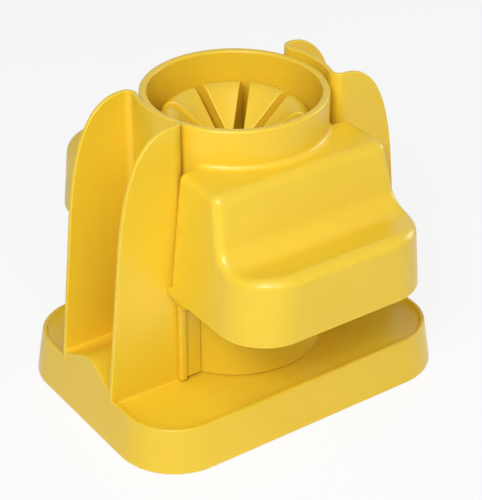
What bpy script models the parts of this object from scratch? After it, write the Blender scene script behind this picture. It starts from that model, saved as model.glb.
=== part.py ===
"""Fruit wedger: a cup with two press handles slides down two guide columns over a seat of eight
fingers, and the four crossing blades inside the cup cut a fruit on the seat into eight wedges.

Units are metres and +Z is up. The front, with one of the two handles, faces -Y. Heights are
measured from the bottom edge of the base's wall, which the rubber feet hold above the counter."""

import math

import bmesh
import bpy
from mathutils import Matrix, Vector
from mathutils.geometry import interpolate_bezier

for old in list(bpy.data.objects):
    bpy.data.objects.remove(old, do_unlink=True)

# Clearances
GAP = 0.0003
OVERRUN = 0.001

# Tray of the base: a drafted wall, a narrow rim and a floor just below it
TRAY_HALF_X = 0.1006
TRAY_HALF_Y = 0.0747
TRAY_CORNER = 0.03465
TRAY_HEIGHT = 0.0254
TRAY_DRAFT = 0.0038
RIM_WIDTH = 0.0026
RIM_ROUND = 0.0009
LIP_REACH = 0.0095
FLOOR = 0.0220
FLOOR_THICK = 0.0030
WALL = 0.0030

# Guide columns: two fins and a curved web round the cup
FIN_Y = 0.0255
FIN_THICK = 0.0026
FIN_BEND = 0.0040
WEB_RADIUS = 0.0513
COLUMN_TOP = 0.1748
COLUMN_FLAT_X = 0.0540
TAPER_X = 0.0885
TAPER_TOP = 0.1100
COLUMN_PROUD = 0.0002
TOP_CURVE_SHARE = 0.62

# Saddle ridge between the fins of a column
SADDLE_LOW = 0.0285
SADDLE_TOP = 0.0410
SADDLE_THICK = 0.0030
SADDLE_HOLLOW_NEAR = 0.0570
SADDLE_HOLLOW_FAR = 0.0900

# Cup of the housing
CUP_RADIUS = 0.0500
CUP_FOOT_RADIUS = 0.0485
CUP_TOP = 0.1714
BORE_RADIUS = 0.0458
CUP_ROUND = 0.0015
LEDGE_RADIUS = 0.0415
LEDGE_BOTTOM = 0.1120
LEDGE_TOP = 0.1180
LEDGE_CHAMFER = 0.0043

# Press handles: shelf, steep face, valley, lip and drafted walls
SHELF = 0.1500
SHELF_EDGE_Y = 0.0558
SHELF_EDGE_ROUND = 0.0060
STEEP_FOOT = 0.1257
STEEP_ANGLE = math.radians(76)
VALLEY_RADIUS = 0.0132
LIP_RISE = math.radians(8)
LIP_Y = 0.1010
LIP_CORNER = 0.0275
HANDLE_BOTTOM = 0.0805
HANDLE_BACK = 0.0323
HANDLE_TOP_HALF_X = 0.0533
HANDLE_FOOT_HALF_X = 0.0605
HANDLE_EDGE = 0.0050
HANDLE_WALL = 0.0030
SHELF_FILLET = 0.0030

# Guide flanges of the housing: thin plates with a beaded edge, just outside the fins
FLANGE_THICK = 0.0018
FLANGE_INNER_X = 0.0415
FLANGE_BEAD_X = 0.0532
FLANGE_BEAD = 0.0020
FLANGE_LIFT = 0.0012
FLANGE_TOP = 0.0880

# Finger seat
FINGER_COUNT = 8
FINGER_RADIUS = 0.0400
FINGER_TOP = 0.1586
FINGER_ROUND = 0.0060
FINGER_SLOPE = 0.90
FINGER_WALL = 0.0026
SLOT_HALF = 0.0027
SLOT_FLOOR = 0.0880

# Blades and their carrier ring
BLADE_COUNT = 4
BLADE_THICK = 0.0007
BLADE_HEIGHT = 0.0160
BLADE_BEVEL = 0.0030
BLADE_EDGE = 0.0001
BLADE_REACH = 0.0439
RING_INNER = 0.0412
RING_HEIGHT = 0.0180

# Screws and feet
RING_SCREW_CIRCLE = 0.0433
RING_SCREW_SHANK = 0.0010
RING_SCREW_HEAD = 0.0019
RING_SCREW_HEAD_HEIGHT = 0.0015
RING_SCREW_LENGTH = 0.0220
BLOCK_SCREW_CIRCLE = 0.0280
BLOCK_SCREW_SHANK = 0.0019
BLOCK_SCREW_HEAD = 0.0036
BLOCK_SCREW_HEAD_HEIGHT = 0.0026
BLOCK_SCREW_LENGTH = 0.0190
SCREW_COUNT = 4
HEAD_TOP_SHARE = 0.8
HEAD_SIDE_SHARE = 0.7
SOCKET_WIDTH_SHARE = 0.5
SOCKET_DEPTH_SHARE = 0.35
POINT_SHARE = 0.35
BLOCK_BOSS_RADIUS = 0.0060
BLOCK_BOSS_DROP = 0.0050
FOOT_INSET = 0.0206
FOOT_RADIUS = 0.0065
FOOT_THICK = 0.0030
FOOT_DROP = 0.0012
FOOT_ROUND = 0.0006
FOOT_POST_RADIUS = 0.0095

# Facets
CUP_STEPS = 64
FILLET_STEPS = 16
SCREW_STEPS = 12
FOOT_STEPS = 20
CORNER_STEPS = 8
BEND_STEPS = 4
EDGE_STEPS = 4
BELL_STEPS = 14
TOP_CURVE_POINTS = 14

# Worked out from the above
REST = FLOOR + GAP
RING_TOP = LEDGE_BOTTOM - GAP
RING_BOTTOM = RING_TOP - RING_HEIGHT
BLADE_BOTTOM = RING_TOP - BLADE_HEIGHT
BOSS_BOTTOM = FLOOR - FLOOR_THICK - BLOCK_BOSS_DROP
FOOT_X = TRAY_HALF_X - FOOT_INSET
FOOT_Y = TRAY_HALF_Y - FOOT_INSET
STEP = math.tau / FINGER_COUNT
HALF_STEP = STEP / 2
SHARP_ANGLE = math.radians(28)


def material(name, colour, roughness, metallic):
    """Principled material of one colour."""
    made = bpy.data.materials.new(name)
    made.use_nodes = True
    shader = made.node_tree.nodes["Principled BSDF"]
    shader.inputs["Base Color"].default_value = (*colour, 1.0)
    shader.inputs["Roughness"].default_value = roughness
    shader.inputs["Metallic"].default_value = metallic
    made.diffuse_color = (*colour, 1.0)
    return made


YELLOW = material("lemon_yellow_plastic", (0.87, 0.55, 0.06), 0.32, 0.0)
STEEL = material("brushed_stainless", (0.62, 0.62, 0.61), 0.28, 1.0)
RUBBER = material("grey_rubber", (0.05, 0.05, 0.05), 0.8, 0.0)

STAND = bpy.data.objects.new("bottom_edge_level", None)
STAND.location.z = FOOT_DROP
LIFT = bpy.data.objects.new("lift_axis", None)
LIFT.location.z = FOOT_DROP
for empty in (STAND, LIFT):
    bpy.context.scene.collection.objects.link(empty)


def add(name, bm, finish, parent):
    """Object from a bmesh, under its parent; without a finish it is a hidden tool."""
    bmesh.ops.recalc_face_normals(bm, faces=bm.faces)
    mesh = bpy.data.meshes.new(name)
    bm.to_mesh(mesh)
    bm.free()
    mesh.shade_smooth()
    mesh.set_sharp_from_angle(angle=SHARP_ANGLE)
    made = bpy.data.objects.new(name, mesh)
    made.parent = parent
    bpy.context.scene.collection.objects.link(made)
    if finish:
        mesh.materials.append(finish)
    else:
        made.hide_render = True
        made.display_type = "WIRE"
    return made


def combine(target, operation, *tools):
    """Boolean modifiers that join, cut or trim the target with each tool in turn."""
    for tool in tools:
        step = target.modifiers.new(f"{operation.lower()} {tool.name}", "BOOLEAN")
        step.operation = operation
        step.solver = "EXACT"
        step.object = tool


def loft(rings, closed=False, bm=None):
    """Skin through rings of equal length, closed on itself or capped at both ends."""
    bm = bm or bmesh.new()
    rows = [[bm.verts.new(point) for point in ring] for ring in rings]
    pairs = list(zip(rows, rows[1:]))
    if closed:
        pairs.append((rows[-1], rows[0]))
    else:
        bm.faces.new(rows[0])
        bm.faces.new(rows[-1])
    for low, high in pairs:
        for i in range(len(low)):
            bm.faces.new((low[i - 1], low[i], high[i], high[i - 1]))
    return bm


def circle(radius, height, steps=CUP_STEPS, centre=(0.0, 0.0)):
    """Ring of points at a height."""
    angles = [math.tau * i / steps for i in range(steps)]
    return [(centre[0] + radius * math.cos(a), centre[1] + radius * math.sin(a), height) for a in angles]


def arc(centre, radius, start, end, steps):
    """Points of an arc in a plane, both ends included."""
    angles = [start + (end - start) * i / steps for i in range(steps + 1)]
    return [(centre[0] + radius * math.cos(a), centre[1] + radius * math.sin(a)) for a in angles]


def turned(profile, steps=CUP_STEPS, closed=False):
    """Solid of revolution about Z from a profile of radius and height."""
    return loft([circle(radius, height, steps) for radius, height in profile], closed)


def prism(outline, low, high, bm=None):
    """Plan outline raised from one height to another."""
    return loft([[(x, y, z) for x, y in outline] for z in (low, high)], bm=bm)


def posts(places, radius, low, high, steps=FOOT_STEPS):
    """Round posts of one size at several places, in one bmesh."""
    bm = bmesh.new()
    for place in places:
        loft([circle(radius, z, steps, place) for z in (low, high)], bm=bm)
    return bm


def around(count, radius, start=0.0):
    """Evenly spaced places on a circle."""
    angles = [start + math.tau * i / count for i in range(count)]
    return [(radius * math.cos(a), radius * math.sin(a)) for a in angles]


def corners(x, y):
    """The four places of a rectangle about the origin."""
    return [(x, y), (-x, y), (-x, -y), (x, -y)]


# Base


def tray_ring(inset, height):
    """Rounded rectangle of the tray, moved in by an inset."""
    radius = TRAY_CORNER - inset
    points = []
    for quarter, (x, y) in enumerate(corners(TRAY_HALF_X - TRAY_CORNER, TRAY_HALF_Y - TRAY_CORNER)):
        start = quarter * math.pi / 2
        points += arc((x, y), radius, start, start + math.pi / 2, CORNER_STEPS)
    return [(x, y, height) for x, y in points]


def tray():
    """Tray as a solid block: drafted wall, rounded rim, hollow lip and floor."""
    low_rim = TRAY_HEIGHT - RIM_ROUND
    profile = [(0.0, 0.0)]
    profile += arc((TRAY_DRAFT + RIM_ROUND, low_rim), RIM_ROUND, math.pi, math.pi / 2, EDGE_STEPS)
    profile += arc((TRAY_DRAFT + RIM_WIDTH - RIM_ROUND, low_rim), RIM_ROUND, math.pi / 2, 0.0, EDGE_STEPS)
    for i in range(1, CORNER_STEPS + 1):
        turn = math.pi / 2 * i / CORNER_STEPS
        inset = TRAY_DRAFT + RIM_WIDTH + LIP_REACH * (1 - math.cos(turn))
        profile.append((inset, low_rim - (low_rim - FLOOR) * math.sin(turn)))
    return add("base", loft([tray_ring(*point) for point in profile]), YELLOW, STAND)


def tray_hollow():
    """Space under the tray's floor, inside its wall."""
    ceiling = FLOOR - FLOOR_THICK
    draft = TRAY_DRAFT / TRAY_HEIGHT
    rings = [tray_ring(WALL + draft * z, z) for z in (-OVERRUN, ceiling)]
    return add("tray_hollow", loft(rings), None, STAND)


def column_skin(offset):
    """Plan of a column's outer skin, moved inwards by an offset: fin, bend, web, bend, fin."""
    bend_y = FIN_Y - FIN_BEND
    bend_x = math.sqrt((WEB_RADIUS + FIN_BEND) ** 2 - bend_y ** 2)
    lean = math.atan2(bend_y, bend_x)
    half = [(TRAY_HALF_X, FIN_Y - offset)]
    half += arc((bend_x, bend_y), FIN_BEND - offset, math.pi / 2, math.pi + lean, BEND_STEPS)
    half += arc((0.0, 0.0), WEB_RADIUS + offset, lean, 0.0, CORNER_STEPS)[1:]
    return half + [(x, -y) for x, y in reversed(half[:-1])]


def column_outline():
    """Side view of a column in X and Z: flat top, round shoulder and tapered outer edge."""
    rim_x = TRAY_HALF_X - TRAY_DRAFT + COLUMN_PROUD
    start = Vector((COLUMN_FLAT_X, COLUMN_TOP))
    end = Vector((TAPER_X, TAPER_TOP))
    along = (Vector((rim_x, TRAY_HEIGHT)) - end).normalized()
    reach = TOP_CURVE_SHARE
    flat_handle = Vector((start.x + reach * (end.x - start.x), start.y))
    slope_handle = end - along * reach * (start.y - end.y)
    shoulder = interpolate_bezier(start, flat_handle, slope_handle, end, TOP_CURVE_POINTS)
    low = FLOOR - FLOOR_THICK / 2
    return [(0.0, low), (0.0, COLUMN_TOP), *[tuple(p) for p in shoulder], (rim_x, TRAY_HEIGHT), (rim_x, low)]


def bell(y, drop):
    """Height of the saddle ridge at a distance from its middle, lowered by a drop."""
    share = (1 + math.cos(math.pi * min(abs(y) / (FIN_Y - FIN_THICK), 1.0))) / 2
    return SADDLE_LOW + (SADDLE_TOP - SADDLE_LOW) * share - drop


def ridge(near, far, half_y, low, drop):
    """Ridge along X with the bell profile on top."""
    width = half_y + half_y
    ys = [half_y - width * i / BELL_STEPS for i in range(BELL_STEPS + 1)]
    section = [(half_y, low), *[(y, bell(y, drop)) for y in ys], (-half_y, low)]
    return loft([[(x, y, z) for y, z in section] for x in (near, far)])


def column(name, turn):
    """One guide column with its saddle, on the +X side and then turned about Z."""
    low = FLOOR - FLOOR_THICK / 2
    band = column_skin(0.0) + column_skin(FIN_THICK)[::-1]
    body = add(name, prism(band, low, COLUMN_TOP + OVERRUN), None, STAND)
    mid_fin = FIN_Y - FIN_THICK / 2
    saddle = add(f"{name}_saddle", ridge(BORE_RADIUS, TRAY_HALF_X, mid_fin, low, 0.0), None, STAND)
    cup_room = turned([(WEB_RADIUS + FIN_THICK / 2, z) for z in (0.0, COLUMN_TOP)])
    cup_room = add(f"{name}_cup_room", cup_room, None, STAND)
    trim = loft([[(x, y, z) for x, z in column_outline()] for y in (-FIN_Y - OVERRUN, FIN_Y + OVERRUN)])
    trim = add(f"{name}_trim", trim, None, STAND)
    half = FIN_Y - FIN_THICK - SADDLE_THICK
    under = FLOOR - FLOOR_THICK - OVERRUN
    hollow = ridge(SADDLE_HOLLOW_NEAR, SADDLE_HOLLOW_FAR, half, under, SADDLE_THICK)
    hollow = add(f"{name}_hollow", hollow, None, STAND)
    for piece in (body, saddle, cup_room, trim, hollow):
        piece.rotation_euler.z = turn
    combine(saddle, "DIFFERENCE", cup_room)
    combine(body, "UNION", saddle)
    combine(body, "INTERSECT", trim)
    return body, hollow


def block_screw_holes():
    """Four holes through the tray's bosses into the finger block."""
    places = around(SCREW_COUNT, BLOCK_SCREW_CIRCLE)
    top = BOSS_BOTTOM + BLOCK_SCREW_LENGTH + OVERRUN
    bm = posts(places, BLOCK_SCREW_SHANK + GAP, BOSS_BOTTOM - OVERRUN, top, SCREW_STEPS)
    return add("block_screw_holes", bm, None, STAND)


def base(screw_holes):
    """Base moulding: tray, columns, and posts and bosses under the floor."""
    body = tray()
    right, right_hollow = column("column_right", 0.0)
    left, left_hollow = column("column_left", math.pi)
    join = FLOOR - FLOOR_THICK / 2
    foot_posts = posts(corners(FOOT_X, FOOT_Y), FOOT_POST_RADIUS, 0.0, join)
    foot_posts = add("foot_posts", foot_posts, None, STAND)
    bosses = posts(around(SCREW_COUNT, BLOCK_SCREW_CIRCLE), BLOCK_BOSS_RADIUS, BOSS_BOTTOM, join)
    bosses = add("block_bosses", bosses, None, STAND)
    recess_top = FOOT_THICK - FOOT_DROP + GAP
    recesses = posts(corners(FOOT_X, FOOT_Y), FOOT_RADIUS + GAP, -OVERRUN, recess_top)
    recesses = add("foot_recesses", recesses, None, STAND)
    combine(body, "UNION", right, left)
    combine(body, "DIFFERENCE", tray_hollow(), right_hollow, left_hollow)
    combine(body, "UNION", foot_posts, bosses)
    combine(body, "DIFFERENCE", recesses, screw_holes)
    return body


# Housing


def handle_half_x(height):
    """Half width of a handle at a height, with its draft."""
    share = (SHELF - height) / (SHELF - HANDLE_BOTTOM)
    return HANDLE_TOP_HALF_X + (HANDLE_FOOT_HALF_X - HANDLE_TOP_HALF_X) * share


def handle_stations(back_y):
    """Centres of the handle's edge rounding with the top skin's normal and the wall's normal, from
    the back along the side, round the corner of the lip to the front."""
    low, high = math.pi / 2 - STEEP_ANGLE, math.pi / 2
    edge_centre = (SHELF_EDGE_Y, SHELF - SHELF_EDGE_ROUND)
    inner = SHELF_EDGE_ROUND - HANDLE_EDGE
    path = [(back_y, SHELF - HANDLE_EDGE, high)]
    for i in range(BEND_STEPS + 1):
        turn = high + (low - high) * i / BEND_STEPS
        path.append((edge_centre[0] + inner * math.cos(turn), edge_centre[1] + inner * math.sin(turn), turn))
    face_y = SHELF_EDGE_Y + SHELF_EDGE_ROUND * math.cos(low)
    face_top = SHELF - SHELF_EDGE_ROUND * (1 - math.sin(low))
    foot_y = face_y + (face_top - STEEP_FOOT) / math.tan(STEEP_ANGLE)
    valley = (foot_y + VALLEY_RADIUS * math.cos(low), STEEP_FOOT + VALLEY_RADIUS * math.sin(low))
    offset = VALLEY_RADIUS + HANDLE_EDGE
    corner_y = LIP_Y - LIP_CORNER
    corner_turn = math.acos((valley[0] - corner_y) / offset)

    def lip_point(y):
        """Centre height and normal's angle at a place past the steep face."""
        turn = math.acos((valley[0] - y) / offset)
        flat = high + LIP_RISE
        if turn < flat:
            return valley[1] - offset * math.sin(turn), turn
        flat_y = valley[0] - offset * math.cos(flat)
        return valley[1] - offset * math.sin(flat) + (y - flat_y) * math.tan(LIP_RISE), flat

    for i in range(CORNER_STEPS):
        turn = low + (corner_turn - low) * i / CORNER_STEPS
        y = valley[0] - offset * math.cos(turn)
        path.append((y, *lip_point(y)))
    stations = []
    for y, z, turn in path:
        centre = Vector((handle_half_x(z) - HANDLE_EDGE, y, z))
        stations.append((centre, Vector((0.0, math.cos(turn), math.sin(turn))), Vector((1.0, 0.0, 0.0))))
    for x_share, y_share in arc((0.0, 0.0), 1.0, 0.0, math.pi / 2, CORNER_STEPS):
        y = corner_y + (LIP_CORNER - HANDLE_EDGE) * y_share
        z, turn = lip_point(y)
        x = handle_half_x(z) - LIP_CORNER + (LIP_CORNER - HANDLE_EDGE) * x_share
        out = Vector((x_share, y_share, 0.0))
        stations.append((Vector((x, y, z)), Vector((0.0, math.cos(turn), math.sin(turn))), out))
    return stations


def handle_solid(inset, back_y, bottom):
    """Closed body inside a handle's outer skin, moved in by an inset; +Y is outwards."""
    round_radius = HANDLE_EDGE - inset
    widen = handle_half_x(bottom)
    columns = []
    for centre, up, out in handle_stations(back_y):
        points = []
        for up_share, out_share in arc((0.0, 0.0), 1.0, 0.0, math.pi / 2, EDGE_STEPS):
            points.append(centre + round_radius * (up * up_share + out * out_share))
        grown = widen - handle_half_x(centre.z)
        points.append(Vector((points[-1].x + grown, points[-1].y, bottom)))
        columns.append(points)
    mirror = Matrix.Diagonal((-1.0, 1.0, 1.0))
    bm = bmesh.new()
    right = [[bm.verts.new(p) for p in points] for points in columns]
    left = [[bm.verts.new(mirror @ p) for p in points] for points in columns]
    around_rows = right + left[::-1]
    for near, far in zip(around_rows, around_rows[1:]):
        for i in range(len(near) - 1):
            bm.faces.new((near[i], far[i], far[i + 1], near[i + 1]))
    for i in range(len(right) - 1):
        bm.faces.new((right[i][0], left[i][0], left[i + 1][0], right[i + 1][0]))
    bm.faces.new([points[-1] for points in around_rows])
    bm.faces.new(right[0] + left[0][::-1])
    return bm


def shelf_fillet():
    """Hollow fillet between the cup and a handle's shelf."""
    overlap = WALL / 2
    start = math.asin(HANDLE_BACK / CUP_RADIUS)
    centre = (CUP_RADIUS + SHELF_FILLET, SHELF + SHELF_FILLET)
    hollow = arc(centre, SHELF_FILLET, math.pi, math.pi + math.pi / 2, EDGE_STEPS)
    inner = CUP_RADIUS - overlap
    profile = [(inner, SHELF - overlap), (inner, SHELF + SHELF_FILLET), *hollow]
    profile.append((CUP_RADIUS + SHELF_FILLET, SHELF - overlap))
    sweep = math.pi - start - start
    angles = [start + sweep * i / FILLET_STEPS for i in range(FILLET_STEPS + 1)]
    return loft([[(r * math.cos(a), r * math.sin(a), z) for r, z in profile] for a in angles])


def flange(name, side, turn):
    """Guide flange on the cup's wall, from just above the floor to behind the handle."""
    near_y = FIN_Y + GAP
    bead_y = near_y + FLANGE_BEAD
    dip = math.asin((FLANGE_BEAD - FLANGE_THICK) / FLANGE_BEAD)
    plan = [(FLANGE_INNER_X, near_y + FLANGE_THICK), (FLANGE_INNER_X, near_y)]
    plan += arc((FLANGE_BEAD_X, bead_y), FLANGE_BEAD, -math.pi / 2, math.pi + dip, CORNER_STEPS)
    bm = prism([(side * x, y) for x, y in plan], REST + FLANGE_LIFT, FLANGE_TOP)
    made = add(name, bm, None, LIFT)
    made.rotation_euler.z = turn
    return made


def handle(name, turn):
    """Hollow press handle with its two flanges, on the +Y side and then turned about Z."""
    shell = add(name, handle_solid(0.0, HANDLE_BACK, HANDLE_BOTTOM), None, LIFT)
    hollow = handle_solid(HANDLE_WALL, HANDLE_BACK + HANDLE_WALL, HANDLE_BOTTOM - OVERRUN)
    hollow = add(f"{name}_hollow", hollow, None, LIFT)
    fillet = add(f"{name}_fillet", shelf_fillet(), None, LIFT)
    for piece in (shell, hollow, fillet):
        piece.rotation_euler.z = turn
    combine(shell, "DIFFERENCE", hollow)
    return shell, fillet, flange(f"{name}_flange_1", 1, turn), flange(f"{name}_flange_2", -1, turn)


def cup():
    """Drafted tube with a rounded outer rim, before its bore is cut."""
    rim = arc((CUP_RADIUS - CUP_ROUND, CUP_TOP - CUP_ROUND), CUP_ROUND, 0.0, math.pi / 2, EDGE_STEPS)
    return turned([(CUP_FOOT_RADIUS, REST), *rim])


def cup_bore():
    """Bore with the ledge that the blade ring hangs under, and a rounded mouth."""
    mouth_centre = (BORE_RADIUS + CUP_ROUND, CUP_TOP - CUP_ROUND)
    mouth = arc(mouth_centre, CUP_ROUND, math.pi, math.pi / 2, EDGE_STEPS)
    profile = [(BORE_RADIUS, REST - OVERRUN), (BORE_RADIUS, LEDGE_BOTTOM), (LEDGE_RADIUS, LEDGE_BOTTOM)]
    profile += [(LEDGE_RADIUS, LEDGE_TOP), (BORE_RADIUS, LEDGE_TOP + LEDGE_CHAMFER), *mouth]
    profile.append((BORE_RADIUS + CUP_ROUND, CUP_TOP + OVERRUN))
    return turned(profile)


def ring_screw_holes():
    """Four holes through the ring into the ledge."""
    places = around(SCREW_COUNT, RING_SCREW_CIRCLE, HALF_STEP)
    top = RING_BOTTOM + RING_SCREW_LENGTH + OVERRUN
    bm = posts(places, RING_SCREW_SHANK + GAP, RING_BOTTOM - OVERRUN, top, SCREW_STEPS)
    return add("ring_screw_holes", bm, None, LIFT)


def housing(screw_holes):
    """Housing moulding: cup, two press handles and four guide flanges."""
    body = add("housing", cup(), YELLOW, LIFT)
    bore = add("cup_bore", cup_bore(), None, LIFT)
    combine(body, "UNION", *handle("handle_rear", 0.0), *handle("handle_front", math.pi))
    combine(body, "DIFFERENCE", bore, screw_holes)
    return body


# Finger seat


def cone_height(radius):
    """Height of the fingers' sloping tops at a radius."""
    lean = math.pi / 2 + math.atan(FINGER_SLOPE)
    start_radius = FINGER_RADIUS - FINGER_ROUND + FINGER_ROUND * math.cos(lean)
    start = FINGER_TOP - FINGER_ROUND + FINGER_ROUND * math.sin(lean)
    return start - (start_radius - radius) * FINGER_SLOPE


def star(half_width, reach):
    """Plan of eight bars that cross at the middle."""
    points = []
    for i in range(FINGER_COUNT):
        turn = Matrix.Rotation(STEP * i, 2)
        between = half_width / math.sin(HALF_STEP)
        crotch = (between * math.cos(HALF_STEP), between * math.sin(HALF_STEP))
        points += [tuple(turn @ Vector(p)) for p in ((reach, -half_width), (reach, half_width), crotch)]
    return points


def finger_pockets():
    """Hollows inside the eight fingers, open at the bottom, one wall inside each face."""
    bm = bmesh.new()
    edge = SLOT_HALF + FINGER_WALL
    radius = FINGER_RADIUS - FINGER_WALL
    apex = edge / math.sin(HALF_STEP)
    spread = HALF_STEP - math.asin(edge / radius)
    roof = FINGER_TOP - FINGER_ROUND - FINGER_WALL
    for i in range(FINGER_COUNT):
        middle = HALF_STEP + STEP * i
        plan = [(apex * math.cos(middle), apex * math.sin(middle))]
        plan += arc((0.0, 0.0), radius, middle - spread, middle + spread, CORNER_STEPS)
        low = [bm.verts.new((x, y, REST - OVERRUN)) for x, y in plan]
        high = [bm.verts.new((x, y, roof)) for x, y in plan]
        high[0].co.z = cone_height(apex) - FINGER_WALL
        bm.faces.new(low)
        for a, b in zip(high[1:], high[2:]):
            bm.faces.new((high[0], a, b))
        for j in range(len(plan)):
            bm.faces.new((low[j - 1], low[j], high[j], high[j - 1]))
    return add("finger_pockets", bm, None, STAND)


def finger_block(screw_holes):
    """Seat of eight hollow fingers that slope down to the middle, with a slot between each two."""
    lean = math.pi / 2 + math.atan(FINGER_SLOPE)
    centre = (FINGER_RADIUS - FINGER_ROUND, FINGER_TOP - FINGER_ROUND)
    profile = [(FINGER_RADIUS, REST), *arc(centre, FINGER_ROUND, 0.0, lean, CORNER_STEPS)]
    profile.append((SLOT_HALF, cone_height(SLOT_HALF)))
    body = add("finger_block", turned(profile), YELLOW, STAND)
    slots = prism(star(SLOT_HALF, FINGER_RADIUS + OVERRUN), SLOT_FLOOR, FINGER_TOP + OVERRUN)
    slots = add("finger_slots", slots, None, STAND)
    combine(body, "DIFFERENCE", slots, finger_pockets(), screw_holes)
    return body


# Blades, ring, screws and feet


def blade_ring(screw_holes):
    """Carrier ring with eight slots that are open at the top for the blades' ends."""
    outer = BORE_RADIUS - GAP
    profile = [(RING_INNER, RING_BOTTOM), (outer, RING_BOTTOM), (outer, RING_TOP), (RING_INNER, RING_TOP)]
    body = add("blade_ring", turned(profile, closed=True), STEEL, LIFT)
    slots = prism(star(BLADE_THICK / 2 + GAP, BLADE_REACH + GAP), BLADE_BOTTOM - GAP, RING_TOP + OVERRUN)
    slots = add("ring_slots", slots, None, LIFT)
    combine(body, "DIFFERENCE", slots, screw_holes)
    return body


def blade(index):
    """Full-width blade, sharpened below, notched so that all four cross at the middle."""
    half = BLADE_THICK / 2
    edge = BLADE_EDGE / 2
    section = [(-half, RING_TOP), (-half, BLADE_BOTTOM + BLADE_BEVEL), (-edge, BLADE_BOTTOM)]
    section += [(edge, BLADE_BOTTOM), (half, BLADE_BOTTOM + BLADE_BEVEL), (half, RING_TOP)]
    bar = loft([[(x, y, z) for y, z in section] for x in (-BLADE_REACH, BLADE_REACH)])
    body = add(f"blade_{index + 1}", bar, STEEL, LIFT)
    notch_x = half / math.tan(HALF_STEP) + GAP
    notch_y = half + OVERRUN
    share = BLADE_HEIGHT / BLADE_COUNT
    web_low = BLADE_BOTTOM + share * index
    web_high = web_low + share - GAP
    bm = bmesh.new()
    if index > 0:
        prism(corners(notch_x, notch_y), BLADE_BOTTOM - OVERRUN, web_low, bm)
    if index < BLADE_COUNT - 1:
        prism(corners(notch_x, notch_y), web_high, RING_TOP + OVERRUN, bm)
    notches = add(f"blade_notches_{index + 1}", bm, None, LIFT)
    for piece in (body, notches):
        piece.rotation_euler.z = STEP * index
    combine(body, "DIFFERENCE", notches)
    return body


def screw_mesh(name, head, head_height, shank, length):
    """Screw that points up, with its seat at the origin and a hexagon socket below."""
    def hexagon(height):
        """Six-sided ring with as many points as the round ones."""
        across = head * SOCKET_WIDTH_SHARE
        ring = []
        for i in range(SCREW_STEPS):
            turn = math.tau * i / SCREW_STEPS
            radius = across / math.cos(turn % (math.pi / 3) - math.pi / 6)
            ring.append((radius * math.cos(turn), radius * math.sin(turn), height))
        return ring
    rings = [hexagon(-head_height * SOCKET_DEPTH_SHARE), hexagon(-head_height)]
    outside = [(head * HEAD_TOP_SHARE, -head_height), (head, -head_height * HEAD_SIDE_SHARE), (head, 0.0)]
    outside += [(shank, 0.0), (shank, length - shank), (shank * POINT_SHARE, length)]
    rings += [circle(radius, height, SCREW_STEPS) for radius, height in outside]
    bm = loft(rings)
    bmesh.ops.recalc_face_normals(bm, faces=bm.faces)
    mesh = bpy.data.meshes.new(name)
    bm.to_mesh(mesh)
    bm.free()
    mesh.shade_smooth()
    mesh.set_sharp_from_angle(angle=SHARP_ANGLE)
    mesh.materials.append(STEEL)
    return mesh


def screws(name, mesh, places, seat, parent):
    """Copies of a screw at their places, all with one mesh."""
    for i, (x, y) in enumerate(places):
        copy = bpy.data.objects.new(f"{name}_{i + 1}", mesh)
        copy.location = (x, y, seat)
        copy.parent = parent
        bpy.context.scene.collection.objects.link(copy)


def foot(index, x, y):
    """Rubber foot in its recess under a post of the tray."""
    top = FOOT_THICK - FOOT_DROP
    centre = (FOOT_RADIUS - FOOT_ROUND, FOOT_ROUND - FOOT_DROP)
    edge = arc(centre, FOOT_ROUND, -math.pi / 2, 0.0, EDGE_STEPS)
    body = add(f"foot_{index}", turned([*edge, (FOOT_RADIUS, top)], FOOT_STEPS), RUBBER, STAND)
    body.location = (x, y, 0.0)


block_holes = block_screw_holes()
ring_holes = ring_screw_holes()
base(block_holes)
housing(ring_holes)
finger_block(block_holes)
blade_ring(ring_holes)
for number in range(BLADE_COUNT):
    blade(number)
block_screw = screw_mesh("block_screw", BLOCK_SCREW_HEAD, BLOCK_SCREW_HEAD_HEIGHT, BLOCK_SCREW_SHANK,
                         BLOCK_SCREW_LENGTH)
screws("block_screw", block_screw, around(SCREW_COUNT, BLOCK_SCREW_CIRCLE), BOSS_BOTTOM - GAP, STAND)
ring_screw = screw_mesh("ring_screw", RING_SCREW_HEAD, RING_SCREW_HEAD_HEIGHT, RING_SCREW_SHANK,
                        RING_SCREW_LENGTH)
ring_places = around(SCREW_COUNT, RING_SCREW_CIRCLE, HALF_STEP)
screws("ring_screw", ring_screw, ring_places, RING_BOTTOM - GAP, LIFT)
for number, place in enumerate(corners(FOOT_X, FOOT_Y)):
    foot(number + 1, *place)
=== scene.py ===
"""Looks of the fruit wedger: three finer plastic mouldings, steel blades and rubber feet, in a pale studio.

Lengths are metres, +Z is up and the front faces -Y. The sizes are the part's own. Heights are given from
the bottom edge of the tray's wall, which its feet hold FOOT_DROP above the floor."""
import math

import bpy
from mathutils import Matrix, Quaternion, Vector
from mathutils.geometry import interpolate_bezier


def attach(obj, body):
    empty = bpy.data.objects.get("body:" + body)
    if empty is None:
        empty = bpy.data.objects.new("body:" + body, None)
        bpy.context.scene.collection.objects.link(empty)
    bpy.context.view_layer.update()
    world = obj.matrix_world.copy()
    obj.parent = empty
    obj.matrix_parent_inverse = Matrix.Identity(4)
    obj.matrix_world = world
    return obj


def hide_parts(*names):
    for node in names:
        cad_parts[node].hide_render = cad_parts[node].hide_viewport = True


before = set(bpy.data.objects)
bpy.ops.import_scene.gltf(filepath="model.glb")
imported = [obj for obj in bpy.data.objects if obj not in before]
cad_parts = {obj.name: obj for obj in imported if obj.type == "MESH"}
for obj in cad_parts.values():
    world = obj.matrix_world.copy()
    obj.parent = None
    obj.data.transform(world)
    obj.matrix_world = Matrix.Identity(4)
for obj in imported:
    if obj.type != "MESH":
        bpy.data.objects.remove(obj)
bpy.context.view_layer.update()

FOOT_DROP = 0.0012
GAP = 0.0003
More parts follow.
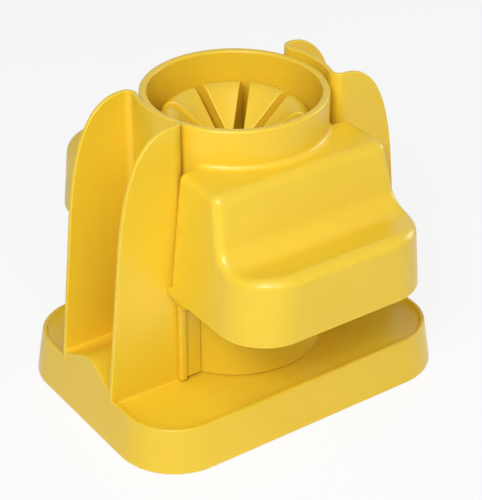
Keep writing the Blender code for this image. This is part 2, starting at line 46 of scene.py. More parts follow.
OVERRUN = 0.001
SUNK = 0.00004
MERGE = 0.000002
SPECK = 0.000001
FACING = 0.99
HALF_TURN = math.pi
QUARTER = math.pi / 2

# Tray
TRAY_HALF_X = 0.1006
TRAY_HALF_Y = 0.0747
TRAY_CORNER = 0.03465
TRAY_HEIGHT = 0.0254
TRAY_DRAFT = 0.0038
TRAY_HEEL = 0.0006
RIM_WIDTH = 0.0026
RIM_ROUND = 0.0009
LIP_REACH = 0.0095
FLOOR = 0.0220
FLOOR_THICK = 0.0030
WALL = 0.0030
LOW_RIM = TRAY_HEIGHT - RIM_ROUND

# Guide columns and saddles
FIN_Y = 0.0255
FIN_THICK = 0.0026
FIN_BEND = 0.0058
FIN_EDGE = 0.0009
FIN_FILLET = 0.0026
WEB_FILLET = 0.0009
WEB_RADIUS = 0.0513
COLUMN_TOP = 0.1748
COLUMN_FLAT_X = 0.0540
TAPER_X = 0.0885
TAPER_TOP = 0.1100
COLUMN_PROUD = 0.0002
TOP_CURVE_SHARE = 0.62
SADDLE_LOW = 0.0298
SADDLE_TOP = 0.0376
SADDLE_THICK = 0.0030
SADDLE_FILLET = 0.0015
SADDLE_END_ROUND = 0.0008
SADDLE_HOLLOW_NEAR = 0.0570
SADDLE_HOLLOW_FAR = 0.0900

# Cup
CUP_RADIUS = 0.0500
CUP_FOOT_RADIUS = 0.0485
CUP_TOP = 0.1714
BORE_RADIUS = 0.0458
CUP_ROUND = 0.0015
LEDGE_RADIUS = 0.0415
LEDGE_BOTTOM = 0.1120
LEDGE_TOP = 0.1180
LEDGE_CHAMFER = 0.0043

# Press handles
SHELF = 0.1500
SHELF_EDGE_Y = 0.0558
SHELF_EDGE_ROUND = 0.0060
STEEP_FOOT = 0.1257
STEEP_ANGLE = math.radians(76)
VALLEY_RADIUS = 0.0132
LIP_RISE = math.radians(8)
LIP_Y = 0.1010
LIP_CORNER = 0.0275
HANDLE_BOTTOM = 0.0805
HANDLE_BACK = FIN_Y + 2 * GAP
HANDLE_TOP_HALF_X = 0.0533
HANDLE_FOOT_HALF_X = 0.0605
HANDLE_EDGE = 0.0050
HANDLE_WALL = 0.0030
SHELF_FILLET = 0.0030
GUSSET_REACH = 0.0453
GUSSET_FOOT = 0.0690
MOULD_EDGE = 0.0006

# Guide flanges
FLANGE_THICK = 0.0018
FLANGE_INNER_X = 0.0415
FLANGE_BEAD_X = 0.0532
FLANGE_BEAD = 0.0020
FLANGE_ROUND = 0.0010
FLANGE_LIFT = 0.0012
FLANGE_TOP = 0.0880

# Finger seat
FINGER_COUNT = 8
FINGER_RADIUS = 0.0400
FINGER_TOP = 0.1586
FINGER_ROUND = 0.0060
FINGER_SLOPE = 0.90
FINGER_EDGE = 0.0007
FINGER_CORNER = 0.0010
SLOT_HALF = 0.0027
SLOT_FLOOR = 0.0880

# Posts under the tray
BOSS_CIRCLE = 0.0280
BOSS_RADIUS = 0.0060
BOSS_DROP = 0.0050
FOOT_INSET = 0.0206
FOOT_RADIUS = 0.0065
FOOT_THICK = 0.0030
FOOT_POST_RADIUS = 0.0095

# Facets
ROUND_STEPS = 144
CORNER_STEPS = 16
BEND_STEPS = 10
SOFT_STEPS = 3
EDGE_STEPS = 6
FILLET_STEPS = 7
SHOULDER_STEPS = 44
BELL_STEPS = 36
SMOOTH_ANGLE = math.radians(34)

REST = FLOOR + GAP
STEP = math.tau / FINGER_COUNT


def arc(centre, radius, start, end, steps):
    """Points of an arc in a plane, both ends included."""
    angles = [start + (end - start) * i / steps for i in range(steps + 1)]
    return [(centre[0] + radius * math.cos(a), centre[1] + radius * math.sin(a)) for a in angles]


def corners(x, y):
    """The four places of a rectangle about the middle."""
    return [(x, y), (-x, y), (-x, -y), (x, -y)]


def settle(name):
    """Name of the active piece; its place and size go into its mesh."""
    piece = bpy.context.object
    piece.name = name
    piece.data.name = name
    bpy.ops.object.transform_apply(location=True, rotation=True, scale=True)
    return piece


def deselect():
    """Nothing selected, so that an operator acts on the next piece alone."""
    bpy.ops.object.select_all(action="DESELECT")


def only(piece):
    """The piece alone selected and active."""
    deselect()
    piece.select_set(True)
    bpy.context.view_layer.objects.active = piece


def edit(piece, kind="FACE"):
    """Edit mode on one piece, with nothing selected in it."""
    only(piece)
    bpy.ops.object.mode_set(mode="EDIT")
    bpy.ops.mesh.select_mode(type=kind)
    bpy.ops.mesh.select_all(action="DESELECT")
    bpy.ops.object.mode_set(mode="OBJECT")


def pick(elements, chosen):
    """Select the faces or edges for which the test holds, in edit mode."""
    for element in elements:
        element.select = bool(chosen(element))
    bpy.ops.object.mode_set(mode="EDIT")


def leave():
    """Back to object mode."""
    bpy.ops.object.mode_set(mode="OBJECT")


def turned(name, profile, steps=ROUND_STEPS):
    """Closed round piece: a ring of points is added, then extruded, raised and resized along a profile."""
    deselect()
    radius, height = profile[0]
    bpy.ops.mesh.primitive_circle_add(vertices=steps, radius=radius, fill_type="NGON",
                                      location=(0.0, 0.0, height + FOOT_DROP))
    piece = settle(name)
    bpy.ops.object.mode_set(mode="EDIT")
    bpy.ops.mesh.select_mode(type="FACE")
    bpy.ops.mesh.select_all(action="SELECT")
    for next_radius, next_height in profile[1:]:
        bpy.ops.mesh.extrude_region_move(TRANSFORM_OT_translate={"value": (0.0, 0.0, next_height - height)})
        scale = next_radius / radius
        bpy.ops.transform.resize(value=(scale, scale, 1.0))
        radius, height = next_radius, next_height
    bpy.ops.mesh.select_all(action="SELECT")
    bpy.ops.mesh.normals_make_consistent(inside=False)
    leave()
    return piece


def placed(name, rows, mirrored=False):
    """Closed piece from rows of points: a grid is added, its points are set in their places, its seams
    are merged and its open ends filled. A mirrored piece is the half at +X of the whole."""
    deselect()
    bpy.ops.mesh.primitive_grid_add(x_subdivisions=len(rows[0]) - 1, y_subdivisions=len(rows) - 1, size=1.0)
    piece = settle(name)
    coordinates = [value for row in rows for x, y, z in row for value in (x, y, z + FOOT_DROP)]
    piece.data.vertices.foreach_set("co", coordinates)
    piece.data.update()
    bpy.ops.object.mode_set(mode="EDIT")
    bpy.ops.mesh.select_all(action="SELECT")
    bpy.ops.mesh.remove_doubles(threshold=MERGE)
    bpy.ops.mesh.dissolve_degenerate(threshold=SPECK)
    if mirrored:
        leave()
        step = piece.modifiers.new("other half", "MIRROR")
        step.merge_threshold = MERGE
        bpy.ops.object.modifier_apply(modifier=step.name)
        bpy.ops.object.mode_set(mode="EDIT")
    bpy.ops.mesh.select_all(action="SELECT")
    bpy.ops.mesh.fill_holes(sides=0)
    bpy.ops.mesh.select_all(action="SELECT")
    bpy.ops.mesh.normals_make_consistent(inside=False)
    leave()
    return piece


def half_turned_copy(piece, name):
    """Copy with its own mesh, turned half round about the upright axis."""
    only(piece)
    bpy.ops.object.duplicate()
    bpy.context.object.rotation_euler.z = HALF_TURN
    return settle(name)


def combine(target, operation, tools):
    """Join or cut with each tool in turn; the modifiers are applied and the tools go."""
    for tool in tools:
        only(target)
        step = target.modifiers.new(operation.lower(), "BOOLEAN")
        step.operation = operation
        step.solver = "EXACT"
        step.object = tool
        bpy.ops.object.modifier_apply(modifier=step.name)
        bpy.data.objects.remove(tool, do_unlink=True)
    return target


def finish_moulding(piece):
    """Smooth shading across the fillets, with flat faces kept flat."""
    edit(piece, "VERT")
    bpy.ops.object.mode_set(mode="EDIT")
    bpy.ops.mesh.select_all(action="SELECT")
    bpy.ops.mesh.remove_doubles(threshold=MERGE)
    bpy.ops.mesh.dissolve_degenerate(threshold=SPECK)
    leave()
    bpy.ops.object.shade_smooth_by_angle(angle=SMOOTH_ANGLE)
    weigh = piece.modifiers.new("flat faces lead", "WEIGHTED_NORMAL")
    weigh.mode = "FACE_AREA"
    weigh.keep_sharp = True
    bpy.ops.object.modifier_apply(modifier=weigh.name)
    return piece


# Base moulding


def tray():
    """Tray: a low block with round corners, raised by insets to its wall, rim, hollow lip and floor."""
    deselect()
    bpy.ops.mesh.primitive_cube_add(size=1.0, location=(0.0, 0.0, FOOT_DROP + TRAY_HEEL / 2),
                                    scale=(2 * TRAY_HALF_X, 2 * TRAY_HALF_Y, TRAY_HEEL))
    piece = settle("base_moulding")
    edit(piece, "EDGE")
    points = piece.data.vertices
    pick(piece.data.edges, lambda e: points[e.vertices[0]].co.xy == points[e.vertices[1]].co.xy)
    bpy.ops.mesh.bevel(offset=TRAY_CORNER, offset_type="OFFSET", segments=CORNER_STEPS, affect="EDGES")
    bpy.ops.mesh.select_mode(type="FACE")
    bpy.ops.mesh.select_all(action="DESELECT")
    leave()
    pick(piece.data.polygons, lambda f: f.normal.z > FACING)
    profile = [(0.0, TRAY_HEEL)]
    profile += arc((TRAY_DRAFT + RIM_ROUND, LOW_RIM), RIM_ROUND, HALF_TURN, QUARTER, EDGE_STEPS)
    profile += arc((TRAY_DRAFT + RIM_WIDTH - RIM_ROUND, LOW_RIM), RIM_ROUND, QUARTER, 0.0, EDGE_STEPS)
    for i in range(1, CORNER_STEPS + 1):
        turn = QUARTER * i / CORNER_STEPS
        inset = TRAY_DRAFT + RIM_WIDTH + LIP_REACH * (1 - math.cos(turn))
        profile.append((inset, LOW_RIM - (LOW_RIM - FLOOR) * math.sin(turn)))
    for (inset, height), (next_inset, next_height) in zip(profile, profile[1:]):
        bpy.ops.mesh.inset(thickness=next_inset - inset, depth=next_height - height)
    bpy.ops.mesh.select_all(action="DESELECT")
    leave()
    pick(piece.data.polygons, lambda f: f.normal.z < -FACING)
    bpy.ops.mesh.inset(thickness=WALL, depth=0.0)
    ceiling = FLOOR - FLOOR_THICK
    bpy.ops.mesh.inset(thickness=TRAY_DRAFT * ceiling / TRAY_HEIGHT, depth=-ceiling)
    leave()
    return piece


def column_outline():
    """Side view of a column: top edge points with the edge's outward normal, from the foot inwards."""
    foot = Vector((TRAY_HALF_X - TRAY_DRAFT + COLUMN_PROUD, TRAY_HEIGHT))
    start = Vector((COLUMN_FLAT_X, COLUMN_TOP))
    end = Vector((TAPER_X, TAPER_TOP))
    along = (foot - end).normalized()
    flat_handle = Vector((start.x + TOP_CURVE_SHARE * (end.x - start.x), start.y))
    slope_handle = end - along * TOP_CURVE_SHARE * (start.y - end.y)
    shoulder = interpolate_bezier(start, flat_handle, slope_handle, end, SHOULDER_STEPS)
    buried = foot + along * (TRAY_HEIGHT - FLOOR)
    points = [buried, foot, *shoulder[::-1]]
    normals = []
    for i in range(len(points)):
        run = points[max(i - 1, 0)] - points[min(i + 1, len(points) - 1)]
        normals.append(Vector((-run.y, run.x)).normalized() if run.x > 0 else Vector((0.0, 1.0)))
    normals[-1] = Vector((0.0, 1.0))
    return list(zip(points, normals))


def column_section(outer, inner, height, up, fillets):
    """One station of a column: foot fillet, face, rounded edge, and the same down the other side."""
    side = Vector((outer[0] - inner[0], outer[1] - inner[1], 0.0)).normalized()
    middle = Vector(((outer[0] + inner[0]) / 2, (outer[1] + inner[1]) / 2, height))
    points = []
    for way, fillet in ((1, fillets[0]), (-1, fillets[1])):
        edge_centre = middle + side * way * (FIN_THICK / 2 - FIN_EDGE) - up * FIN_EDGE
        rounding = [edge_centre + FIN_EDGE * (side * way * math.cos(t) + up * math.sin(t))
                    for t in [QUARTER * i / EDGE_STEPS for i in range(EDGE_STEPS + 1)]]
        foot = []
        for away, rise in arc((fillet, fillet), fillet, -QUARTER, -HALF_TURN, FILLET_STEPS):
            place = rounding[0] + side * way * away
            foot.append(Vector((place.x, place.y, FLOOR - SUNK + rise)))
        below = Vector((foot[0].x, foot[0].y, FLOOR - FLOOR_THICK / 2))
        half = [below, *foot, *rounding]
        points += half if way > 0 else half[::-1]
    return [tuple(p) for p in points]


def column(name):
    """Guide column on the +X side: fin, bend, web, bend and fin, in one sweep."""
    bend_y = FIN_Y - FIN_BEND
    bend_x = math.sqrt((WEB_RADIUS + FIN_BEND) ** 2 - bend_y ** 2)
    lean = math.atan2(bend_y, bend_x)
    upright = Vector((0.0, 0.0, 1.0))
    clear_x = FLANGE_BEAD_X + FLANGE_BEAD
    half = []
    for point, normal in column_outline():
        share = min(max((point.x - clear_x) / (TAPER_X - clear_x), 0.0), 1.0)
        outer_fillet = WEB_FILLET + (FIN_FILLET - WEB_FILLET) * share
        up = Vector((normal.x, 0.0, normal.y))
        outer, inner = (point.x, FIN_Y), (point.x, FIN_Y - FIN_THICK)
        half.append(column_section(outer, inner, point.y, up, (outer_fillet, WEB_FILLET)))
    outside = arc((bend_x, bend_y), FIN_BEND, QUARTER, HALF_TURN + lean, BEND_STEPS)
    inside = arc((bend_x, bend_y), FIN_BEND - FIN_THICK, QUARTER, HALF_TURN + lean, BEND_STEPS)
    outside += arc((0.0, 0.0), WEB_RADIUS, lean, 0.0, CORNER_STEPS)[1:]
    inside += arc((0.0, 0.0), WEB_RADIUS + FIN_THICK, lean, 0.0, CORNER_STEPS)[1:]
    for outer, inner in zip(outside, inside):
        half.append(column_section(outer, inner, COLUMN_TOP, upright, (WEB_FILLET, WEB_FILLET)))
    mirrored = [[(x, -y, z) for x, y, z in row] for row in half[-2::-1]]
    rows = [[*row, row[0]] for row in half + mirrored]
    return placed(name, rows)


def bell(y):
    """Height of the saddle ridge at a distance from its middle."""
    share = (1 + math.cos(HALF_TURN * min(abs(y) / (FIN_Y - FIN_THICK), 1.0))) / 2
    return SADDLE_LOW + (SADDLE_TOP - SADDLE_LOW) * share


def fillet_rise(away):
    """Rise of the saddle's hollow fillet at a distance from the wall that it meets."""
    reach = SADDLE_FILLET - min(max(away, 0.0), SADDLE_FILLET)
    return SADDLE_FILLET - math.sqrt(SADDLE_FILLET ** 2 - reach ** 2)


def wall_x(height):
    """Outside of the tray's end wall at a height, carried on above the rim."""
    return TRAY_HALF_X - TRAY_DRAFT * (height - TRAY_HEEL) / (LOW_RIM - TRAY_HEEL)


def saddle(name):
    """Saddle ridge on the +X side, with a round end edge over the tray's end wall."""
    face_y = FIN_Y - FIN_THICK + SUNK
    low = FLOOR - FLOOR_THICK / 2
    ys = [SADDLE_FILLET * (1 - math.cos(QUARTER * i / EDGE_STEPS)) - face_y for i in range(EDGE_STEPS)]
    inner_y = face_y - SADDLE_FILLET
    ys += [-inner_y + 2 * inner_y * i / BELL_STEPS for i in range(BELL_STEPS + 1)]
    ys += [-y for y in ys[EDGE_STEPS - 1::-1]]
    ys = [-FIN_Y + FIN_THICK / 2, *ys, FIN_Y - FIN_THICK / 2]
    rows = []
    for y in ys:
        top = bell(y) + fillet_rise(face_y - abs(y))
        round_top = top - SADDLE_END_ROUND
        end_x = wall_x(round_top) + SUNK
        edge = arc((end_x - SADDLE_END_ROUND, round_top), SADDLE_END_ROUND, 0.0, QUARTER, EDGE_STEPS)
        web_x = math.sqrt((WEB_RADIUS + FIN_THICK) ** 2 - y ** 2)
        near = web_x - FIN_THICK / 2
        row = [(near, low), (TRAY_HALF_X - TRAY_DRAFT - RIM_WIDTH, low)]
        row.append((TRAY_HALF_X - TRAY_DRAFT - RIM_WIDTH / 2, LOW_RIM - RIM_ROUND / 2))
        row.append((wall_x(LOW_RIM) + SUNK, LOW_RIM - SUNK))
        rise_centre = (web_x + SADDLE_FILLET, top + SADDLE_FILLET)
        rise = arc(rise_centre, SADDLE_FILLET, -QUARTER, -HALF_TURN, EDGE_STEPS)
        row += [*edge, *rise, (near, top + SADDLE_FILLET)]
        rows.append([(x, y, z) for x, z in [*row, row[0]]])
    return placed(name, rows)


def saddle_hollow(name):
    """Hollow under a saddle ridge, open below the tray's floor."""
    half_y = FIN_Y - FIN_THICK - SADDLE_THICK
    low = FLOOR - FLOOR_THICK - OVERRUN
    ys = [-half_y + 2 * half_y * i / BELL_STEPS for i in range(BELL_STEPS + 1)]
    rows = []
    for y in ys:
        top = bell(y) - SADDLE_THICK
        row = [(SADDLE_HOLLOW_NEAR, low), (SADDLE_HOLLOW_FAR, low)]
        row += [(SADDLE_HOLLOW_FAR, top), (SADDLE_HOLLOW_NEAR, top)]
        rows.append([(x, y, z) for x, z in [*row, row[0]]])
    return placed(name, rows)


def post(name, place, radius, low, recess=0.0, recess_radius=0.0):
    """Round post under the tray, with its lower face inset and sunk where it holds a foot."""
    deselect()
    high = FLOOR - FLOOR_THICK / 2
    bpy.ops.mesh.primitive_cylinder_add(vertices=ROUND_STEPS // 3, radius=radius, depth=high - low,
                                        location=(*place, FOOT_DROP + (high + low) / 2))
    piece = settle(name)
    if recess:
        edit(piece)
        pick(piece.data.polygons, lambda f: f.normal.z < -FACING)
        bpy.ops.mesh.inset(thickness=radius - recess_radius, depth=0.0)
        bpy.ops.mesh.inset(thickness=0.0, depth=-recess)
        leave()
    return piece


def base_moulding():
    """Tray with its columns, saddles, posts and bosses, as one moulding."""
    body = tray()
    right_column = column("column_right")
    right_saddle = saddle("saddle_right")
    right_hollow = saddle_hollow("saddle_hollow_right")
    right = (right_column, right_saddle, right_hollow)
    left = [half_turned_copy(piece, f"{piece.name}_turned") for piece in right]
    combine(body, "UNION", [right_column, right_saddle, left[0], left[1]])
    combine(body, "DIFFERENCE", [right_hollow, left[2]])
    feet = corners(TRAY_HALF_X - FOOT_INSET, TRAY_HALF_Y - FOOT_INSET)
    recess = FOOT_THICK - FOOT_DROP + GAP
    posts = [post("foot_post", place, FOOT_POST_RADIUS, 0.0, recess, FOOT_RADIUS + GAP) for place in feet]
    boss_places = [(BOSS_CIRCLE, 0.0), (0.0, BOSS_CIRCLE), (-BOSS_CIRCLE, 0.0), (0.0, -BOSS_CIRCLE)]
    boss_low = FLOOR - FLOOR_THICK - BOSS_DROP
    posts += [post("screw_boss", place, BOSS_RADIUS, boss_low) for place in boss_places]
    combine(body, "UNION", posts)
    return finish_moulding(body)


# Housing moulding


def handle_half_x(height):
    """Half width of a handle at a height, with its draft."""
    share = (SHELF - height) / (SHELF - HANDLE_BOTTOM)
    return HANDLE_TOP_HALF_X + (HANDLE_FOOT_HALF_X - HANDLE_TOP_HALF_X) * share


def handle_stations(back_y):
    """Centres of the handle's edge rounding with the top skin's normal and the wall's normal, from
    the round corner at the back, along the side and round the corner of the lip."""
    low, high = QUARTER - STEEP_ANGLE, QUARTER
    edge_centre = (SHELF_EDGE_Y, SHELF - SHELF_EDGE_ROUND)
    inner = SHELF_EDGE_ROUND - HANDLE_EDGE
    path = []
    for i in range(BEND_STEPS + 1):
        turn = high + (low - high) * i / BEND_STEPS
        y = edge_centre[0] + inner * math.cos(turn)
        path.append((y, edge_centre[1] + inner * math.sin(turn), turn))
    face_y = SHELF_EDGE_Y + SHELF_EDGE_ROUND * math.cos(low)
    face_top = SHELF - SHELF_EDGE_ROUND * (1 - math.sin(low))
    foot_y = face_y + (face_top - STEEP_FOOT) / math.tan(STEEP_ANGLE)
    valley = (foot_y + VALLEY_RADIUS * math.cos(low), STEEP_FOOT + VALLEY_RADIUS * math.sin(low))
    offset = VALLEY_RADIUS + HANDLE_EDGE
    corner_y = LIP_Y - LIP_CORNER
    corner_turn = math.acos((valley[0] - corner_y) / offset)

    def lip_point(y):
        """Centre height and normal's angle at a place past the steep face."""
        turn = math.acos((valley[0] - y) / offset)
        flat = high + LIP_RISE
        if turn < flat:
            return valley[1] - offset * math.sin(turn), turn
        flat_y = valley[0] - offset * math.cos(flat)
        return valley[1] - offset * math.sin(flat) + (y - flat_y) * math.tan(LIP_RISE), flat

    for i in range(CORNER_STEPS):
        turn = low + (corner_turn - low) * i / CORNER_STEPS
        y = valley[0] - offset * math.cos(turn)
        path.append((y, *lip_point(y)))
    stations = []
    back_z = SHELF - HANDLE_EDGE
    back_centre = Vector((handle_half_x(back_z) - HANDLE_EDGE, back_y + HANDLE_EDGE, back_z))
    for x_share, y_share in arc((0.0, 0.0), 1.0, -QUARTER, 0.0, BEND_STEPS):
        stations.append((back_centre, Vector((0.0, 0.0, 1.0)), Vector((x_share, y_share, 0.0))))
    for y, z, turn in path:
        centre = Vector((handle_half_x(z) - HANDLE_EDGE, y, z))
        stations.append((centre, Vector((0.0, math.cos(turn), math.sin(turn))), Vector((1.0, 0.0, 0.0))))
    for x_share, y_share in arc((0.0, 0.0), 1.0, 0.0, QUARTER, 2 * CORNER_STEPS):
        y = corner_y + (LIP_CORNER - HANDLE_EDGE) * y_share
        z, turn = lip_point(y)
        x = handle_half_x(z) - LIP_CORNER + (LIP_CORNER - HANDLE_EDGE) * x_share
        out = Vector((x_share, y_share, 0.0))
        stations.append((Vector((x, y, z)), Vector((0.0, math.cos(turn), math.sin(turn))), out))
    return stations


def handle_solid(name, inset, back_y, bottom):
    """Closed body inside a handle's skin: one half is laid out from stations and mirrored."""
    round_radius = HANDLE_EDGE - inset
    widest = handle_half_x(bottom)
    rows = []
    for centre, up, out in handle_stations(back_y):
        quarter_round = arc((0.0, 0.0), 1.0, 0.0, QUARTER, EDGE_STEPS + 2)
        points = [centre + round_radius * (up * u + out * o) for u, o in quarter_round]
        foot = Vector((points[-1].x + widest - handle_half_x(centre.z), points[-1].y, bottom))
        row = [Vector((0.0, points[0].y, points[0].z)), *points, foot, Vector((0.0, foot.y, bottom))]
        rows.append([tuple(p) for p in row])
    ends = [[(0.0, y, z) for _, y, z in row] for row in (rows[0], rows[-1])]
    return placed(name, [ends[0], *rows, ends[1]], mirrored=True)


def handle(name):
    """Hollow press handle, on the +Y side, with its lower edge rounded."""
    shell = handle_solid(name, 0.0, HANDLE_BACK, HANDLE_BOTTOM)
    hollow = handle_solid(f"{name}_hollow", HANDLE_WALL, HANDLE_BACK + HANDLE_WALL, HANDLE_BOTTOM - OVERRUN)
    combine(shell, "DIFFERENCE", [hollow])
    soften_edges(shell, lambda a, b: flat_at(a, HANDLE_BOTTOM) or flat_at(b, HANDLE_BOTTOM), MOULD_EDGE)
    return shell


def flat_at(face, height):
    """Whether a face lies flat at a height."""
    return abs(face.normal.z) > FACING and abs(face.center.z - height - FOOT_DROP) < GAP


def soften_edges(piece, chosen, width):
    """Bevel of the sharp edges whose two faces pass a test."""
    edit(piece, "EDGE")
    faces = {}
    for polygon in piece.data.polygons:
        for key in polygon.edge_keys:
            faces.setdefault(key, []).append(polygon)

    def sharp(edge):
        """Whether the edge is sharp and the test holds."""
        pair = faces.get(tuple(sorted(edge.vertices)), [])
        return len(pair) == 2 and pair[0].normal.angle(pair[1].normal) > SMOOTH_ANGLE and chosen(*pair)

    pick(piece.data.edges, sharp)
    bpy.ops.mesh.bevel(offset=width, offset_type="OFFSET", segments=SOFT_STEPS, affect="EDGES",
                       clamp_overlap=True)
    leave()


def shelf_height(y):
    """Height of a handle's shelf, which rounds down to the back wall."""
    reach = min(max(HANDLE_BACK + HANDLE_EDGE - y, 0.0), HANDLE_EDGE)
    return SHELF - HANDLE_EDGE + math.sqrt(HANDLE_EDGE ** 2 - reach ** 2)


def shelf_fillet(name):
    """Hollow fillet between the cup and a handle's shelf: its outline is spun round the cup."""
    start = math.asin((HANDLE_BACK + GAP) / CUP_RADIUS)
    sweep = HALF_TURN - 2 * start
    inner = CUP_RADIUS - WALL / 2
    low = SHELF - WALL / 2
    centre = (CUP_RADIUS + SHELF_FILLET, SHELF + SHELF_FILLET)
    hollow = arc(centre, SHELF_FILLET, HALF_TURN, HALF_TURN + QUARTER, EDGE_STEPS + 2)
    outline = [(inner, low), (inner, SHELF + SHELF_FILLET), *hollow, (CUP_RADIUS + SHELF_FILLET, low)]
    steps = ROUND_STEPS // 3
    rows = []
    for i in range(steps + 1):
        turn = start + sweep * i / steps
        drop = SHELF - shelf_height(CUP_RADIUS * math.sin(turn))
        row = [(r * math.cos(turn), r * math.sin(turn), z - drop) for r, z in outline]
        rows.append([*row, row[0]])
    return placed(name, rows)


def gusset(name, side):
    """Web that runs from the lower edge of a handle's side wall down to the flange's bar."""
    bar = FLANGE_BEAD_X + FLANGE_BEAD
    top = HANDLE_BOTTOM + HANDLE_WALL
    near = FIN_Y + GAP
    rows = []
    for i in range(BEND_STEPS + 1):
        share = i / BEND_STEPS
        height = HANDLE_BOTTOM + (GUSSET_FOOT - HANDLE_BOTTOM) * share
        ease = (1 - math.cos(HALF_TURN * share)) / 2
        outer = HANDLE_FOOT_HALF_X - MOULD_EDGE / 2 + (bar - MOULD_EDGE / 2 - HANDLE_FOOT_HALF_X) * ease
        reach = GUSSET_REACH + (near + 2 * FLANGE_BEAD - GAP - GUSSET_REACH) * share
        inner = outer - 2 * FLANGE_BEAD + FLANGE_ROUND
        plan = [(inner, near + SUNK), (outer, near + SUNK), (outer, reach), (inner, reach)]
        rows.append([(side * x, y, height) for x, y in [*plan, plan[0]]])
    rows.insert(0, [(x, y, top) for x, y, _ in rows[0]])
    return placed(name, rows)


def flange(name, side):
    """Guide flange on the cup: a thin plate joined to a flat bar with round edges."""
    near_y = FIN_Y + GAP
    low, high = REST + FLANGE_LIFT, FLANGE_TOP
    middle_z = FOOT_DROP + (low + high) / 2
    deselect()
    bpy.ops.mesh.primitive_cube_add(size=1.0, scale=(2 * FLANGE_BEAD, 2 * FLANGE_BEAD, high - low),
                                    location=(side * FLANGE_BEAD_X, near_y + FLANGE_BEAD, middle_z))
    bead = settle(name)
    soften_edges(bead, lambda a, b: True, FLANGE_ROUND)
    deselect()
    length = FLANGE_BEAD_X - FLANGE_INNER_X
    middle = (side * (FLANGE_INNER_X + length / 2), near_y + FLANGE_THICK / 2, middle_z)
    bpy.ops.mesh.primitive_cube_add(size=1.0, scale=(length, FLANGE_THICK, high - low - MOULD_EDGE),
                                    location=middle)
    plate = settle(f"{name}_plate")
    return combine(bead, "UNION", [plate])


def housing_moulding():
    """Cup with its two press handles and four guide flanges, bored out."""
    rim = arc((CUP_RADIUS - CUP_ROUND, CUP_TOP - CUP_ROUND), CUP_ROUND, 0.0, QUARTER, EDGE_STEPS)
    heel = (CUP_FOOT_RADIUS - MOULD_EDGE, REST), (CUP_FOOT_RADIUS, REST + MOULD_EDGE)
    body = turned("housing_moulding", [*heel, *rim])
    half = [handle("handle_rear"), shelf_fillet("shelf_fillet")]
    half += [gusset("gusset_a", 1), gusset("gusset_b", -1)]
    half += [flange("flange_a", 1), flange("flange_b", -1)]
    half += [half_turned_copy(piece, f"{piece.name}_turned") for piece in half]
    combine(body, "UNION", half)
    mouth = arc((BORE_RADIUS + CUP_ROUND, CUP_TOP - CUP_ROUND), CUP_ROUND, HALF_TURN, QUARTER, EDGE_STEPS)
    bore = [(BORE_RADIUS, REST - OVERRUN), (BORE_RADIUS, LEDGE_BOTTOM), (LEDGE_RADIUS, LEDGE_BOTTOM)]
    bore += [(LEDGE_RADIUS, LEDGE_TOP), (BORE_RADIUS, LEDGE_TOP + LEDGE_CHAMFER), *mouth]
    bore.append((BORE_RADIUS + CUP_ROUND, CUP_TOP + OVERRUN))
    combine(body, "DIFFERENCE", [turned("bore", bore)])
    return finish_moulding(body)


# Finger seat


def seat_height(radius):
    """Height of the fingers' tops at a radius: round shoulder, then a slope down to the middle."""
    lean = QUARTER + math.atan(FINGER_SLOPE)
    start = FINGER_RADIUS - FINGER_ROUND + FINGER_ROUND * math.cos(lean)
    if radius < start:
        return FINGER_TOP - FINGER_ROUND + FINGER_ROUND * math.sin(lean) - (start - radius) * FINGER_SLOPE
    reach = min(radius - FINGER_RADIUS + FINGER_ROUND, FINGER_ROUND)
    return FINGER_TOP - FINGER_ROUND + math.sqrt(FINGER_ROUND ** 2 - reach ** 2)


def wedge(side_inset, outer_inset, corner):
    """Plan of one finger about +X: between two slot faces and the outer arc, with round corners."""
    half = STEP / 2
    edge = SLOT_HALF + side_inset
    outer = FINGER_RADIUS - outer_inset
    centre_radius = outer - corner
    tilt = half - math.asin((edge + corner) / centre_radius)
    centre = (centre_radius * math.cos(tilt), centre_radius * math.sin(tilt))
    apex = (edge + corner) / math.sin(half)
    upper = arc((apex, 0.0), corner, HALF_TURN, half + QUARTER, EDGE_STEPS // 2)
    tip = upper[-1]
    face_end = (centre[0] - corner * math.sin(half), centre[1] + corner * math.cos(half))
    for i in range(1, CORNER_STEPS):
        share = i / CORNER_STEPS
        upper.append((tip[0] + (face_end[0] - tip[0]) * share, tip[1] + (face_end[1] - tip[1]) * share))
    upper += arc(centre, corner, half + QUARTER, tilt, EDGE_STEPS)
    upper += arc((0.0, 0.0), outer, tilt, 0.0, CORNER_STEPS // 2)[1:]
    return upper + [(x, -y) for x, y in reversed(upper[:-1])]


def finger():
    """One finger: its plan is raised and drawn in over a rounded edge to the sloping top."""
    rows = [[(x, y, SLOT_FLOOR - OVERRUN) for x, y in wedge(0.0, 0.0, FINGER_CORNER)]]
    lean = QUARTER + math.atan(FINGER_SLOPE)
    turns = [QUARTER * i / EDGE_STEPS for i in range(EDGE_STEPS + 1)]
    for turn in turns:
        side_inset = FINGER_EDGE * (1 - math.cos(turn))
        plan = wedge(side_inset, FINGER_ROUND * (1 - math.cos(turn)), FINGER_CORNER)
        drop = FINGER_EDGE * (1 - math.sin(turn))
        rows.append([(x, y, seat_height(math.hypot(x, y)) - drop) for x, y in plan])
    middle = (FINGER_RADIUS / 2, 0.0)
    rim = wedge(FINGER_EDGE, FINGER_ROUND, FINGER_CORNER)
    for i in range(1, EDGE_STEPS):
        share = i / EDGE_STEPS
        inner = [(x + (middle[0] - x) * share, y + (middle[1] - y) * share) for x, y in rim]
        rows.append([(x, y, seat_height(math.hypot(x, y))) for x, y in inner])
    rows.append([(*middle, seat_height(middle[0]))] * len(rim))
    return placed("finger", rows)


